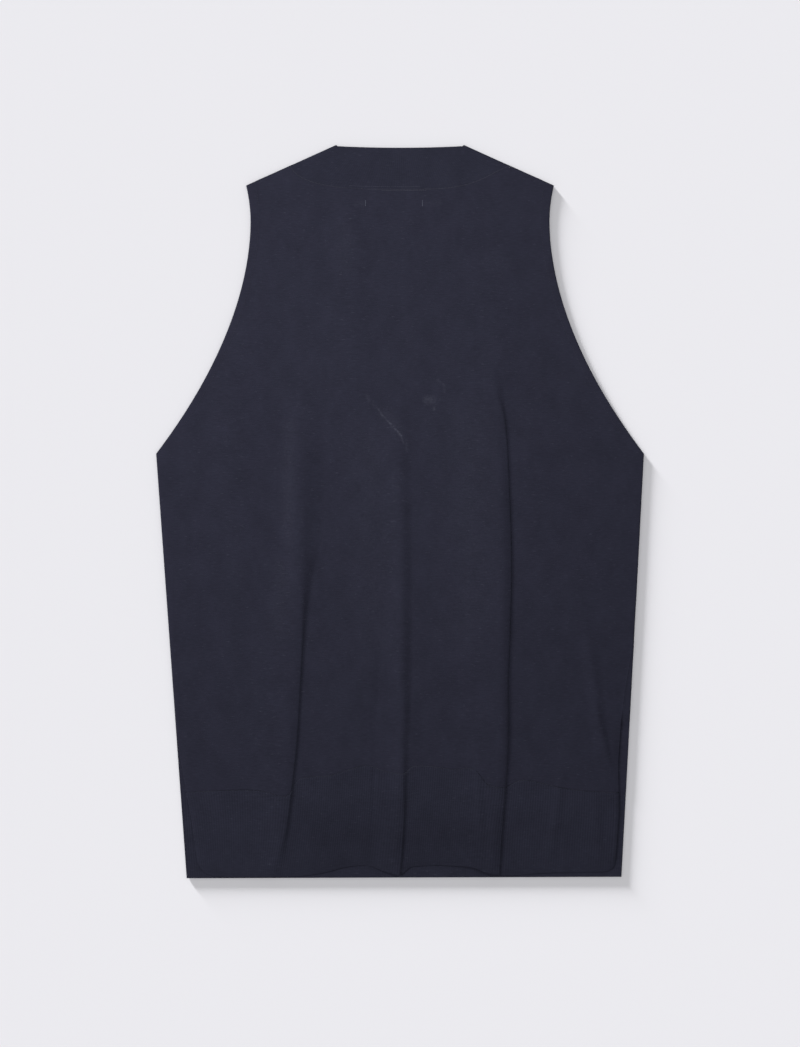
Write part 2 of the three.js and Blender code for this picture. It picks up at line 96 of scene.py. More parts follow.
def lean(depth):
    """How far the body has moved to the right at a depth: only below the armpits, in proportion."""
    return HEM_SHIFT * np.maximum(0, (depth - ARMPIT_DEPTH) / (BODY_LENGTH - ARMPIT_DEPTH))


def smooth(t):
    """3t squared less 2t cubed, held between 0 and 1."""
    t = np.clip(t, 0, 1)
    return t * t * (3 - 2 * t)


def mix(a, b, t):
    """The value a share t of the way from a to b."""
    return a + (b - a) * t


def read(rows, column, at):
    """Reads a column of a table at keys from its first column: a cubic through the rows, whose slope at
    a row is that between its neighbours, and flat beyond both ends."""
    table = np.array(rows, float)
    key, value = table[:, 0], table[:, column]
    last = len(key) - 1
    low, high = np.maximum(np.arange(last + 1) - 1, 0), np.minimum(np.arange(last + 1) + 1, last)
    slope = (value[high] - value[low]) / (key[high] - key[low])
    at = np.clip(at, key[0], key[last])
    i = np.clip(np.searchsorted(key, at, side="right") - 1, 0, last - 1)
    width = key[i + 1] - key[i]
    t = (at - key[i]) / width
    return (
        value[i] * (2 * t**3 - 3 * t**2 + 1)
        + value[i + 1] * (3 * t**2 - 2 * t**3)
        + width * (slope[i] * (t**3 - 2 * t**2 + t) + slope[i + 1] * (t**3 - t**2))
    )


def spot(x, depth, z):
    """Points from x, depth and height, as one array with x, y and z last."""
    x, depth, z = np.broadcast_arrays(x, depth, z)
    return np.stack([x, BODY_LENGTH / 2 - depth, z], axis=-1)


def ridge(away, half):
    """1 on a line, falling as a bell curve on both sides, to about a third at a distance of half."""
    return np.exp(-((away / half) ** 2))


def rounded(inside, radius=EDGE_ROUND):
    """How far a rounded edge falls at a distance inside it: a quarter circle of that radius."""
    out = 1 - np.clip(inside / radius, 0, 1)
    return radius * (1 - np.sqrt(1 - out**2))


def wall_faces(rows, columns, ring):
    """Quads of a closed wall: an outer grid, an inner grid after it, and the rims between them. A ring's
    last column meets its first."""
    number = np.arange(rows * columns).reshape(rows, columns)
    inner = rows * columns
    grid = np.concatenate([number, number[:, :1]], axis=1) if ring else number
    corners = [grid[:-1, :-1], grid[1:, :-1], grid[1:, 1:], grid[:-1, 1:]]
    quads = np.stack(corners, axis=-1).reshape(-1, 4)
    parts = [quads, quads[:, ::-1] + inner]
    rims = [grid[0], grid[-1, ::-1]]
    if not ring:
        rims += [grid[::-1, 0], grid[:, -1]]
    for rim in rims:
        a, b = rim[:-1], rim[1:]
        parts.append(np.stack([a, b, b + inner, a + inner], axis=-1))
    return np.concatenate(parts)


def faced_object(name, points, faces, material):
    """An object from points in millimetres and faces, smoothly shaded, with its material."""
    mesh = bpy.data.meshes.new(name)
    mesh.from_pydata(points * MM, [], faces.tolist())
    mesh.polygons.foreach_set("use_smooth", np.ones(len(mesh.polygons), bool))
    mesh.materials.append(material)
    mesh.update()
    made = bpy.data.objects.new(name, mesh)
    bpy.context.scene.collection.objects.link(made)
    return made


def wall_object(name, wall, material, ring=False):
    """An object of a closed wall, given as its outer and its inner grid of points."""
    outer, inner = wall
    points = np.concatenate([outer.reshape(-1, 3), inner.reshape(-1, 3)])
    return faced_object(name, points, wall_faces(*outer.shape[:2], ring), material)


class Wire:
    """One output socket of a material's nodes. Arithmetic on wires and numbers adds Math nodes."""

    def __init__(self, tree, socket=None):
        self.tree, self.socket = tree, socket

    def node(self, kind, settings, inputs, output=0):
        """Adds a node, sets its settings first, then its sockets to values or wires."""
        made = self.tree.nodes.new(kind)
        for key, value in settings.items():
            setattr(made, key, value)
        for key, value in inputs.items():
            if isinstance(value, Wire):
                self.tree.links.new(value.socket, made.inputs[key])
            else:
                made.inputs[key].default_value = value
        return Wire(self.tree, made.outputs[output])

    def math(self, operation, *values):
        return self.node("ShaderNodeMath", {"operation": operation}, dict(enumerate(values)))

    def vector(self, operation, *values, output=0):
        return self.node("ShaderNodeVectorMath", {"operation": operation}, dict(enumerate(values)), output)

    def scaled(self, colour):
        """A colour or a vector times this wire."""
        return self.node("ShaderNodeVectorMath", {"operation": "SCALE"}, {0: colour, "Scale": self})

    def __add__(self, other):
        return self.math("ADD", self, other)

    def __sub__(self, other):
        return self.math("SUBTRACT", self, other)

    def __rsub__(self, other):
        return self.math("SUBTRACT", other, self)

    def __mul__(self, other):
        return self.math("MULTIPLY", self, other)

    __radd__, __rmul__ = __add__, __mul__


# Numbers of sockets that can't be told by name: a Mix node's two colours and its mixed colour, the
# object's own place on a Texture Coordinate node, and a Vector Math node's value
MIX_FIRST, MIX_SECOND, MIX_RESULT, OBJECT_PLACE, VECTOR_VALUE = 6, 7, 2, 3, 1


def grains(place, per_mm, detail):
    """Noise from 0 to 1, stretched by giving how many grains fit a millimetre along x, y and z."""
    scaled = place.vector("MULTIPLY", place, tuple(n / MM for n in per_mm))
    return place.node("ShaderNodeTexNoise", {}, {"Vector": scaled, "Scale": 1.0, "Detail": detail})


def rise_between(value, low, high):
    """0 below low, 1 above high, and straight between."""
    inputs = {"Value": value, "From Min": low, "From Max": high}
    return value.node("ShaderNodeMapRange", {"clamp": True}, inputs)


def blended(share, colour, other):
    """The colour a share of the way from one colour to another."""
    settings = {"data_type": "RGBA", "clamp_factor": True}
    inputs = {0: share, MIX_FIRST: colour, MIX_SECOND: other}
    return share.node("ShaderNodeMix", settings, inputs, MIX_RESULT)


# For each thing that varies the yarn's colour: its grains per millimetre with their detail, between
# which noise values it appears, and how strong it is
CLOUD_GRAINS, CLOUD_STRENGTH = ((0.06, 0.045, 0.06), 4.0), 0.36
STREAK_GRAINS, STREAK_STRENGTH = ((0.16, 0.95, 0.3), 2.0), 0.46
SLUB_GRAINS, SLUB_RISE, SLUB_STRENGTH = ((0.22, 0.85, 0.3), 1.0), (0.66, 0.80), 0.24
LINT_GRAINS, LINT_RISE, LINT_STRENGTH = ((0.55, 0.6, 0.5), 0.0), (0.86, 0.90), 0.12
NOISE_MIDDLE = 0.5


def yarn_colour(place, colour, fleck):
    """The yarn's colour: cloudy over some centimetres and streaked along the courses, with light slubs
    and specks of lint."""
    cloud = grains(place, *CLOUD_GRAINS) - NOISE_MIDDLE
    streak = grains(place, *STREAK_GRAINS) - NOISE_MIDDLE
    slub = rise_between(grains(place, *SLUB_GRAINS), *SLUB_RISE)
    lint = rise_between(grains(place, *LINT_GRAINS), *LINT_RISE)
    tone = cloud * CLOUD_STRENGTH + streak * STREAK_STRENGTH + 1.0
    return blended(slub * SLUB_STRENGTH + lint * LINT_STRENGTH, tone.scaled(colour), (*fleck, 1.0))


CLOTH_FINISH = {
    "Roughness": 0.88,
    "Specular IOR Level": 0.08,
    "Sheen Weight": 0.03,
    "Sheen Roughness": 0.5,
    "Sheen Tint": (0.55, 0.6, 0.8, 1.0),
}


def cloth_material(name, colour, fleck, relief_mm, relief, finish=lambda place, colours: colours):
    """A matte yarn cloth. relief makes its height from the place, and finish may change its colours."""
    made = bpy.data.materials.new(name)
    made.use_nodes = True
    tree = made.node_tree
    shader = tree.nodes["Principled BSDF"]
    place = Wire(tree).node("ShaderNodeTexCoord", {}, {}, OBJECT_PLACE)
    for socket, value in CLOTH_FINISH.items():
        shader.inputs[socket].default_value = value
    colours = finish(place, yarn_colour(place, colour, fleck))
    tree.links.new(colours.socket, shader.inputs["Base Color"])
    inputs = {"Strength": 1.0, "Distance": relief_mm * MM, "Height": relief(place)}
    bump = place.node("ShaderNodeBump", {}, inputs)
    tree.links.new(bump.socket, shader.inputs["Normal"])
    return made


NAVY, NAVY_FLECK = (0.0228, 0.0232, 0.0388), (0.075, 0.078, 0.110)
WALE_MM, COURSE_MM = 1.6, 1.25
KNIT_RELIEF_MM = 0.08
# How many courses a leg climbs, how deep it dips between courses, and the yarn's fuzz
LEG_CLIMB, LEG_DIP = 0.55, 0.25
FUZZ_GRAINS, FUZZ_STRENGTH = ((0.8, 0.8, 0.8), 3.0), 0.8


def axis_of(place, axis):
    """One coordinate of a place, 0 for x and 1 for y, in millimetres."""
    split = place.node("ShaderNodeSeparateXYZ", {}, {0: place}, output=axis)
    return split * (1 / MM)


def plain_relief(place):
    """Plain knit: each wale is two legs, each leg a ridge that leans in to the middle course by course."""
    across = place.math("FRACT", axis_of(place, 0) * (1 / WALE_MM))
    leg = place.math("ABSOLUTE", across - 1 / 2) * 2
    turns = axis_of(place, 1) * (1 / COURSE_MM) + leg * LEG_CLIMB
    stitch = place.math("SINE", turns * (2 * np.pi)) * LEG_DIP + (1 - LEG_DIP)
    crest = place.math("SINE", leg * np.pi)
    return crest * stitch + grains(place, *FUZZ_GRAINS) * FUZZ_STRENGTH


plain_knit = cloth_material("plain_knit", NAVY, NAVY_FLECK, KNIT_RELIEF_MM, plain_relief)

# The shoulders' folds lie along a line that is a fold's radius inside the right shoulder's edge
fold_in = np.array([-SHOULDER_DROP, SHOULDER_HALF - NECK_HALF])
fold_in = fold_in / np.hypot(*fold_in) * FOLD_RADIUS
SHOULDER_SLOPE = SHOULDER_DROP / (SHOULDER_HALF - NECK_HALF)
FOLD_NECK = np.array([NECK_HALF, 0.0]) + fold_in
FOLD_SEAM = np.array([BAND_HALF, SHOULDER_SLOPE * (BAND_HALF - NECK_HALF)]) + fold_in


def v_curve(start, point_depth, share):
    """x and depth along one leg of the V, from the shoulder to its point: x falls as 1 less the share
    squared, and depth grows evenly."""
    return start[0] * (1 - share**2), mix(start[1], point_depth, share)


def evenly(x, depth, count):
    """count points evenly spaced along a path."""
    run = np.append(0, np.cumsum(np.hypot(np.diff(x), np.diff(depth))))
    at = np.linspace(0, run[-1], count)
    return np.interp(at, run, x), np.interp(at, run, depth)


# Points along the armhole, the side and half the lower edge, and from the V out to them
RIM_POINTS, ACROSS_POINTS = (70, 96, 54), 24


def front_wall():
    """The front as one wall round the V: its points are a share of the way from the neck seam out to
    the armhole, side and hem seam, and its lower edge is rounded at the outside."""
    low = HEM_SEAM_DEPTH - SEWN_GAP / 2
    stops = [SHOULDER_DROP, ARMPIT_DEPTH, low]
    sides = [np.linspace(a, b, n, endpoint=False) for a, b, n in zip(stops, stops[1:], RIM_POINTS)]
    depth = np.concatenate(sides)
    across = np.linspace(lean(low) - half_width(low), 0.0, RIM_POINTS[-1])
    rim_x = np.append(lean(depth) - half_width(depth), across)
    rim_depth = np.append(depth, np.full(across.size, low))
    v_x, v_depth = v_curve(-FOLD_SEAM * (1, -1), FRONT_SEAM_DEPTH, np.linspace(0, 1, rim_x.size))
    v_x, v_depth = evenly(v_x - CURVED_GAP, v_depth + CURVED_GAP, rim_x.size)
    v_x[-1] = 0.0
    width = np.hypot(rim_x - v_x, rim_depth - v_depth)
    even = np.linspace(0, 1, ACROSS_POINTS)[:-1, None] * (1 - EDGE_STEPS[-1] / width)
    out = np.concatenate([even, 1 - EDGE_STEPS[::-1, None] / width])
    left_x, left_depth = mix(v_x, rim_x, out), mix(v_depth, rim_depth, out)
    right_x = mix(-v_x, 2 * lean(rim_depth) - rim_x, out)
    x = np.concatenate([left_x, right_x[:, -2::-1]], axis=1)
    depth = np.concatenate([left_depth, left_depth[:, -2::-1]], axis=1)
    fall = rounded((1 - out) * width)
    fall = np.concatenate([fall, fall[:, -2::-1]], axis=1)
    return spot(x, depth, WALL), spot(x, depth, fall)


TURNED_FROM, SLIT_TOP, TURNED_TO = 478.0, 553.5, 566.0
TURNED_ROWS, TURNED_COLUMNS, TURNED_LEAST_REACH = 40, 15, 0.3
# The turned edge sinks into the front from this far above the slit's top to this far below it
SINK_ABOVE, SINK_BELOW = 6.0, 8.0
TURNED_SUNK, TURNED_BASE = WALL - 0.1, EDGE_ROUND - 0.3
# The sewn edges meet in a low ridge, and are rounded off this many times less than a free edge
SEAM_RIDGE, SEAM_RIDGE_HALF, SEAM_SHARPNESS = 0.2, 0.9, 6


def turned_wall():
    """The front's edge where it comes up round the right side and over on to the back: from the seam it
    runs out level, then round a quarter circle and down to meet the front's own rounded edge."""
    depth = np.linspace(TURNED_FROM, TURNED_TO, TURNED_ROWS)[:, None]
    reach = np.maximum(read(EDGE_INSETS, 2, depth) - SEWN_GAP, TURNED_LEAST_REACH)
    inside = reach * (1 - np.cos(np.linspace(np.pi, 0, TURNED_COLUMNS))) / 2
    radius = np.minimum(EDGE_ROUND, reach / 2)
    top = BACK_BASE + WALL - rounded(inside, radius) - rounded(reach - inside, radius / SEAM_SHARPNESS)
    top = top + SEAM_RIDGE * ridge(reach - inside, SEAM_RIDGE_HALF)
    sunk = smooth((depth - SLIT_TOP + SINK_ABOVE) / (SINK_ABOVE + SINK_BELOW))
    x = lean(depth) + half_width(depth) - inside
    return spot(x, depth, mix(top, TURNED_SUNK, sunk)), spot(x, depth, TURNED_BASE)


front_cloth = wall_object("front_cloth", front_wall(), plain_knit)
side_turning = wall_object("side_turning", turned_wall(), plain_knit)
for piece in (front_cloth, side_turning):
    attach(piece, "root")
    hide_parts("front_panel")

# Front hem: a band of one by one rib, linked to the front's lower edge and a little longer than the
# back's. It lies flat, and its ribs show on its upper side at the slits and below the back hem.
FRONT_HEM_RISE, FRONT_HEM_ROWS = 1.4, 8
# Shares of a full rounding that its upper and its lower side have
FRONT_HEM_UPPER_ROUND, FRONT_HEM_LOWER_ROUND = 0.1, 0.6
FRONT_RIBS = 190
POINTS_PER_RIB = 6
# Height of the ribs, and how far inside an edge they reach it
RIB_RELIEF, RIB_FADE = 0.2, 2.0
RIB_NAVY = (0.0224, 0.0232, 0.0384)
RIB_BUMP_MM, RIB_STITCH_STRENGTH = 0.10, 0.4
UNEVEN_GRAINS = ((0.5, 0.5, 0.5), 1.0)


def rib_relief(place):
    """Rib knit: short slanting stitches along each rib, and fuzz. The ribs are in the mesh."""
    turns = axis_of(place, 1) * (1 / COURSE_MM) + grains(place, *UNEVEN_GRAINS)
    stitch = place.math("SINE", turns * (2 * np.pi)) * RIB_STITCH_STRENGTH
    return stitch + grains(place, *FUZZ_GRAINS)


rib_knit = cloth_material("rib_knit", RIB_NAVY, NAVY_FLECK, RIB_BUMP_MM, rib_relief)


def rib_wave(count):
    """Height of count ribs from 0 to 1 over their columns: half a sine for each rib."""
    phase = np.arange(count * POINTS_PER_RIB + 1) / POINTS_PER_RIB
    return np.abs(np.sin(np.pi * phase))


def rows_between(top, bottom, count):
    """Depths from top to bottom: close together at both ends, for a rounded edge, and even between."""
    middle = np.linspace(top + EDGE_STEPS[-1], bottom - EDGE_STEPS[-1], count)
    return np.concatenate([top + EDGE_STEPS[:-1], middle, bottom - EDGE_STEPS[-2::-1]])


def front_hem_wall():
    """A flat band between the front's sides: columns are even shares of the width, ribs stand on the
    upper side between them, and all edges are rounded."""
    top = HEM_SEAM_DEPTH + SEWN_GAP / 2
    depth = rows_between(top, BODY_LENGTH, FRONT_HEM_ROWS)[:, None]
    share = np.linspace(0, 1, FRONT_RIBS * POINTS_PER_RIB + 1)[None, :]
    half = half_width(depth)
    x = lean(depth) + half * (2 * share - 1)
    tilted = depth - FRONT_HEM_RISE * share * (depth - top) / (BODY_LENGTH - top)
    sides = half * np.minimum(share, 1 - share) * 2
    ends = np.minimum(depth - top + EDGE_ROUND / 2, BODY_LENGTH - depth)
    inside = np.minimum(sides, ends)
    relief = RIB_RELIEF * (1 - rib_wave(FRONT_RIBS)) * smooth(inside / RIB_FADE)
    upper = WALL - relief - FRONT_HEM_UPPER_ROUND * rounded(inside)
    return spot(x, tilted, upper), spot(x, tilted, FRONT_HEM_LOWER_ROUND * rounded(inside))


front_hem_rib = wall_object("front_hem_rib", front_hem_wall(), rib_knit)
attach(front_hem_rib, "root")
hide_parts("front_hem")

# Back: one piece of fine plain knit from the neck seam to the hem seam, laid over the front. Slack in
# it has fallen into three long folds, each standing up on the left of its crease and lapping over it.
# depth, x of the crease, how high the cloth stands, how wide its fall is, and how far it laps over
LEFT_FOLD = [
    (228, -69, 0, 26, 0), (272, -69, 3.6, 27, 0), (330, -70.5, 4.8, 27, 0),
    (385, -74.5, 4.9, 23, 0), (415, -81, 4.3, 15, 0.3), (458, -88.6, 3.8, 7.6, 1.8),
    (525, -94.5, 3.5, 5.5, 3.2), (583, -98, 3.3, 5.5, 3), (624, -101.8, 3.1, 6, 2.4),
    (660, -104.8, 2.6, 7.5, 1.2), (685, -108, 1.9, 11, 0), (707, -111, 1.2, 14, 0),
]
CENTRE_FOLD = [
    (240, 11.6, 0, 14, 0), (300, 11.6, 2.8, 17, 0), (380, 12.6, 4.3, 15, 0),
    (487, 12.8, 4.5, 14, 0), (535, 12.5, 4.3, 13, 0), (556, 12, 4, 12, 0.5),
    (585, 10.8, 3.9, 12, 1.1), (624, 9, 3.8, 9.5, 2), (657, 6.4, 3.4, 6.5, 3),
    (690, 3.2, 3, 5, 3), (707, 1.2, 2.8, 5, 3),
]
RIGHT_FOLD = [
    (207, 95.5, 0, 14, 0), (246, 100.5, 2.1, 10, 0.4), (277, 103.4, 3.4, 6, 2.8),
    (342, 106, 4.3, 5.5, 4.2), (410, 108, 4.5, 5.5, 4.3), (477, 107, 4.5, 6, 4.2),
    (525, 106.4, 4.4, 7.5, 4.2), (575, 107, 4.2, 8, 4.2), (631, 103.8, 3.6, 7.5, 3.8),
    (670, 99.7, 3.3, 6, 3.4), (707, 97.3, 3, 5.5, 3.2),
]
# Each fold with its reach: how far to its left the cloth has come down again
FOLDS = [(LEFT_FOLD, 50), (CENTRE_FOLD, 32), (RIGHT_FOLD, 60)]
# How far back a lap is carried, how much of its edge is thinned, by what lap most, and by what share
LAP_REACH, LAP_THINNING, FULL_LAP, MOST_THINNED = 25.0, 14.0, 4.5, 0.9
# Soft swells and grooves: top and bottom depth, x at each, half width, height
SWELLS = [
    (150, 430, -154, -168, 32, 1.6), (200, 470, 128, 134, 24, 1.1), (525, 655, 8, 8, 15, 1.0),
    (440, 640, 176, 201, 10, 1.7), (540, 610, 187, 205, 5, 1.1), (20, 260, -44, -50, 30, 1.7),
    (225, 470, -97.5, -100, 16, 2.2), (60, 300, 88, 96, 34, 1.1), (487, 690, -20, -27, 4, -0.5),
    (590, 702, 158, 144, 8, 0.8), (600, 700, 74, 77, 6, 0.6), (600, 705, 186, 192, 7, 0.5),
]
# x, then the depth of the hem seam
HEM_SEAM = [
    (-210, 624.5), (-154, 622), (-133, 623), (-111, 627.5), (-103, 618),
    (-96, 611), (-67, 608), (-48, 602), (-31, 598.5), (-14, 604),
    (3, 606), (14, 599), (53, 602), (72, 602), (84, 617),
    (101, 619), (118, 612.5), (154, 619.5), (174, 622.5), (208, 624.5),
]
BACK_NECK_DIP, BACK_SEAM_DEPTH, BACK_SEAM_POWER = 3.0, 43.3, 3.5
SEAM_LEAN, SEAM_LEAN_POWER, SEAM_LEAN_FADE, NECK_GAP_POWER = 7.0, 4, 12, 8


def back_form(x, level):
    """Height and sideways lap of the back. Left of each crease the cloth rises as a smooth step over
    the fall's width and sinks as another over the fold's reach. Its top is carried to the right, and
    the further it laps over, the lower its edge is drawn down to the crease.
    Each swell is a smooth hump about its own line, that grows and fades along it as half a sine."""
    z, lap = 0 * x, 0 * x
    for rows, reach in FOLDS:
        away, drop, over = (read(rows, column, level) for column in (1, 3, 4))
        away = away - x
        up = smooth(away / drop) * (1 - smooth(away / reach))
        thinned = MOST_THINNED * np.clip(over / FULL_LAP, 0, 1)
        up = up * (1 - thinned * (1 - smooth(away / LAP_THINNING)))
        z = z + np.maximum(0, read(rows, 2, level)) * up
        lap = lap + over * smooth(away / drop) * (1 - smooth((away - drop) / LAP_REACH))
    for top, bottom, x_top, x_bottom, half, height in SWELLS:
        along = np.clip((level - top) / (bottom - top), 0, 1)
        across = np.abs(x - mix(x_top, x_bottom, along)) / half
        z = z + height * np.sin(np.pi * along) * (1 - smooth(across))
    return z, lap


# Distances over which slopes are measured
SLOPE_STEP, SPREAD_STEP = 0.5, 3.0


def back_points(x, depth, level, raised):
    """Outer and inner points of the back at x, depth and level: the inner ones lie a wall's thickness
    square below the slope, and raised is added on the outside alone."""
    z, lap = back_form(x, level)
    rise = back_form(x + SLOPE_STEP, level)[0] - back_form(x - SLOPE_STEP, level)[0]
    slope = rise / (2 * SLOPE_STEP)
    long = np.hypot(slope, 1)
    outer = spot(x + lap, depth, BACK_BASE + WALL / long + z + raised)
    return outer, spot(x + lap + WALL * slope / long, depth, BACK_BASE + z)


def back_seam_depth(x):
    """Depth of the neckband's seam across the back: deepest in the middle, rising as a power of x. It
    lies a little lower on the left and higher on the right, by another power that fades at its ends."""
    share = np.abs(x) / FOLD_SEAM[0]
    even = BACK_SEAM_DEPTH - (BACK_SEAM_DEPTH - FOLD_SEAM[1]) * share**BACK_SEAM_POWER
    fade = np.maximum(0, 1 - share**SEAM_LEAN_FADE)
    return even - np.sign(x) * SEAM_LEAN * share**SEAM_LEAN_POWER * fade


def back_lines(level):
    """x of the lines that the back's columns run between, on each level: both edges, a line from each
    end of the neck seam, and the three creases."""
    left, centre, right = (read(rows, 1, level) for rows, _ in FOLDS)
    left_edge = lean(level) - half_width(level) + read(EDGE_INSETS, 1, level)
    right_edge = lean(level) + half_width(level) - read(EDGE_INSETS, 2, level)
    down = smooth((level - SHOULDER_DROP) / (ARMPIT_DEPTH - SHOULDER_DROP))
    neck_left = mix(-BAND_HALF - CURVED_GAP, (left_edge + left) / 2, down)
    neck_right = mix(BAND_HALF + CURVED_GAP, (right + right_edge) / 2, down)
    return [left_edge, neck_left, left, centre, right, neck_right, right_edge]


def neck_gap(x):
    """How far the back's top edge lies below the neckband: hardly at all, but a little at its ends."""
    return mix(SEWN_GAP, CURVED_GAP, np.clip(np.abs(x) / BAND_HALF, 0, 1) ** NECK_GAP_POWER)


def edge_spread(level):
    """How much further a distance square to the side edge reaches across: its slope's length."""
    widening = half_width(level + SPREAD_STEP) - half_width(level - SPREAD_STEP)
    return np.hypot(1, widening / (2 * SPREAD_STEP))


# Distances of the back's columns: from a side edge, down a fold's fall, and after its crease. Then how
# many fill each strip between two of its lines, and its rows from top to bottom
EDGE_COLUMNS = np.concatenate([EDGE_STEPS, [3.5, 6.0, 7.4, 7.8, 8.2, 8.6, 9.0, 9.5, 10.2]])
FALL_COLUMNS = np.array([0, 0.4, 0.8, 1.2, 1.6, 2, 2.5, 3, 3.5, 4, 4.6, 5.4, 6.5, 8, 10, 12.5])
AFTER_COLUMNS = np.array([1.2, 3.0, 6.0])
STRIP_COLUMNS = [18, 16, 30, 28, 16, 18]
SHOULDER_ROWS, ARMHOLE_ROWS, BODY_ROWS = 9, 56, 82


def back_columns(level):
    """x of every column of the back on each level: set distances from the edges and the creases, where
    the form is sharp, and even steps between."""
    lines = [line[:, None] for line in back_lines(level)]
    edge = EDGE_COLUMNS * edge_spread(level)[:, None]
    none, on_line = np.zeros(0), np.zeros(1)
    lefts = [edge, none, AFTER_COLUMNS, AFTER_COLUMNS, AFTER_COLUMNS, none]
    rights = [on_line, FALL_COLUMNS, FALL_COLUMNS, FALL_COLUMNS, on_line, edge]
    strips = zip(lefts, rights, STRIP_COLUMNS, lines[:-1], lines[1:])
    xs = []
    for near_left, near_right, count, left, right in strips:
        start, end = left + near_left, (right - near_right)[:, ::-1]
        first = start[:, -1:] if near_left.size else left
        between = np.linspace(0, 1, count + 2)[1:-1]
        xs += [start, mix(first, end[:, :1], between), end]
    return np.concatenate(xs, axis=1)


# The armhole's edge is turned in and stitched down: its width, its height, the width of its step, its
# line of stitches, the groove that they draw, and how far above the armpit it fades out
TURNING, TURNING_HEIGHT, TURNING_STEP, TURNING_FADE = 9.2, 0.12, 0.6, 12.0
TURNING_STITCHES, GROOVE, GROOVE_HALF = 8.2, 0.08, 0.45
# The left side seam: depth, how far inside the front's outline, and how strongly it shows
SIDE_SEAM = [(410, 9, 0.0), (440, 5.2, 1.0), (500, 4.4, 1.0), (550, 3.2, 1.0), (572, 1.4, 0.6)]
SIDE_SEAM_HEIGHT, SIDE_SEAM_HALF = 0.45, 1.1
# A rim beside the right slit: height, distance from the edge, half width, and where it starts and over
# what depth it grows
RIM_HEIGHT, RIM_INSIDE, RIM_HALF, RIM_FROM, RIM_GROWTH = 0.3, 2.6, 1.3, 570, 60
# A low rim beside the neck seam: its height on the back and on the band, its place and half width
NECK_RIM, BAND_RIM, NECK_RIM_INSIDE, NECK_RIM_HALF = 0.3, 0.25, 0.7, 0.8
# Shares of a full rounding at the back's edges
LEFT_SLIT_ROUND, RIGHT_ROUND, RIGHT_SLIT_ROUND, SEWN_ROUND = 0.5, 0.6, 0.12, 0.04
NECK_ROUND, SHOULDER_ROUND, HEM_MIDDLE_ROUND, HEM_SIDE_ROUND = 0.2, 0.6, 0.3, 0.5
HEM_MIDDLE_HALF, HEM_SIDES_FROM = 60, 100
# How far the cloth sinks beside the left and the right slit, over what width, and over what lengths
# the slit opens and the seam above it starts and ends
LEFT_SINK, RIGHT_SINK, SINK_WIDTH = 0.5, 0.6, 6
SLIT_OPENING, SEWN_START, SEWN_END = 16, 8, 6


def armhole_turning(inside, level):
    """Height of the armhole's turned edge: level over its width, less a groove along its stitches."""
    turned = TURNING_HEIGHT * (1 - smooth((inside - TURNING + TURNING_STEP) / TURNING_STEP))
    turned = turned - GROOVE * ridge(inside - TURNING_STITCHES, GROOVE_HALF)
    return turned * (1 - smooth((level - ARMPIT_DEPTH + TURNING_FADE) / TURNING_FADE))


def slit_rim(right):
    """Height of the rim at a distance from the right edge."""
    return RIM_HEIGHT * ridge(right - RIM_INSIDE, RIM_HALF)


def side_ridges(x, level, right, sewn):
    """Height of the ridges along the sides: the left seam's, the right seam's and the slit's rim."""
    from_seam = x - lean(level) + half_width(level) - read(SIDE_SEAM, 1, level)
    left_seam = SIDE_SEAM_HEIGHT * read(SIDE_SEAM, 2, level) * ridge(from_seam, SIDE_SEAM_HALF)
    right_seam = SEAM_RIDGE * sewn * ridge(right, SEAM_RIDGE_HALF)
    return left_seam + right_seam + smooth((level - RIM_FROM) / RIM_GROWTH) * slit_rim(right)


def side_falls(left, right, slit, sewn):
    """How far the back falls at distances from its side edges: a rounding, of which the slits have a
    smaller share and the sewn edge hardly any, and beside the slits a smooth sinking to the front."""
    falls = rounded(left) * mix(1, LEFT_SLIT_ROUND, slit)
    falls = falls + rounded(right) * mix(mix(RIGHT_ROUND, RIGHT_SLIT_ROUND, slit), SEWN_ROUND, sewn)
    sinking = LEFT_SINK * (1 - smooth(left / SINK_WIDTH)) + RIGHT_SINK * (1 - smooth(right / SINK_WIDTH))
    return falls + slit * sinking


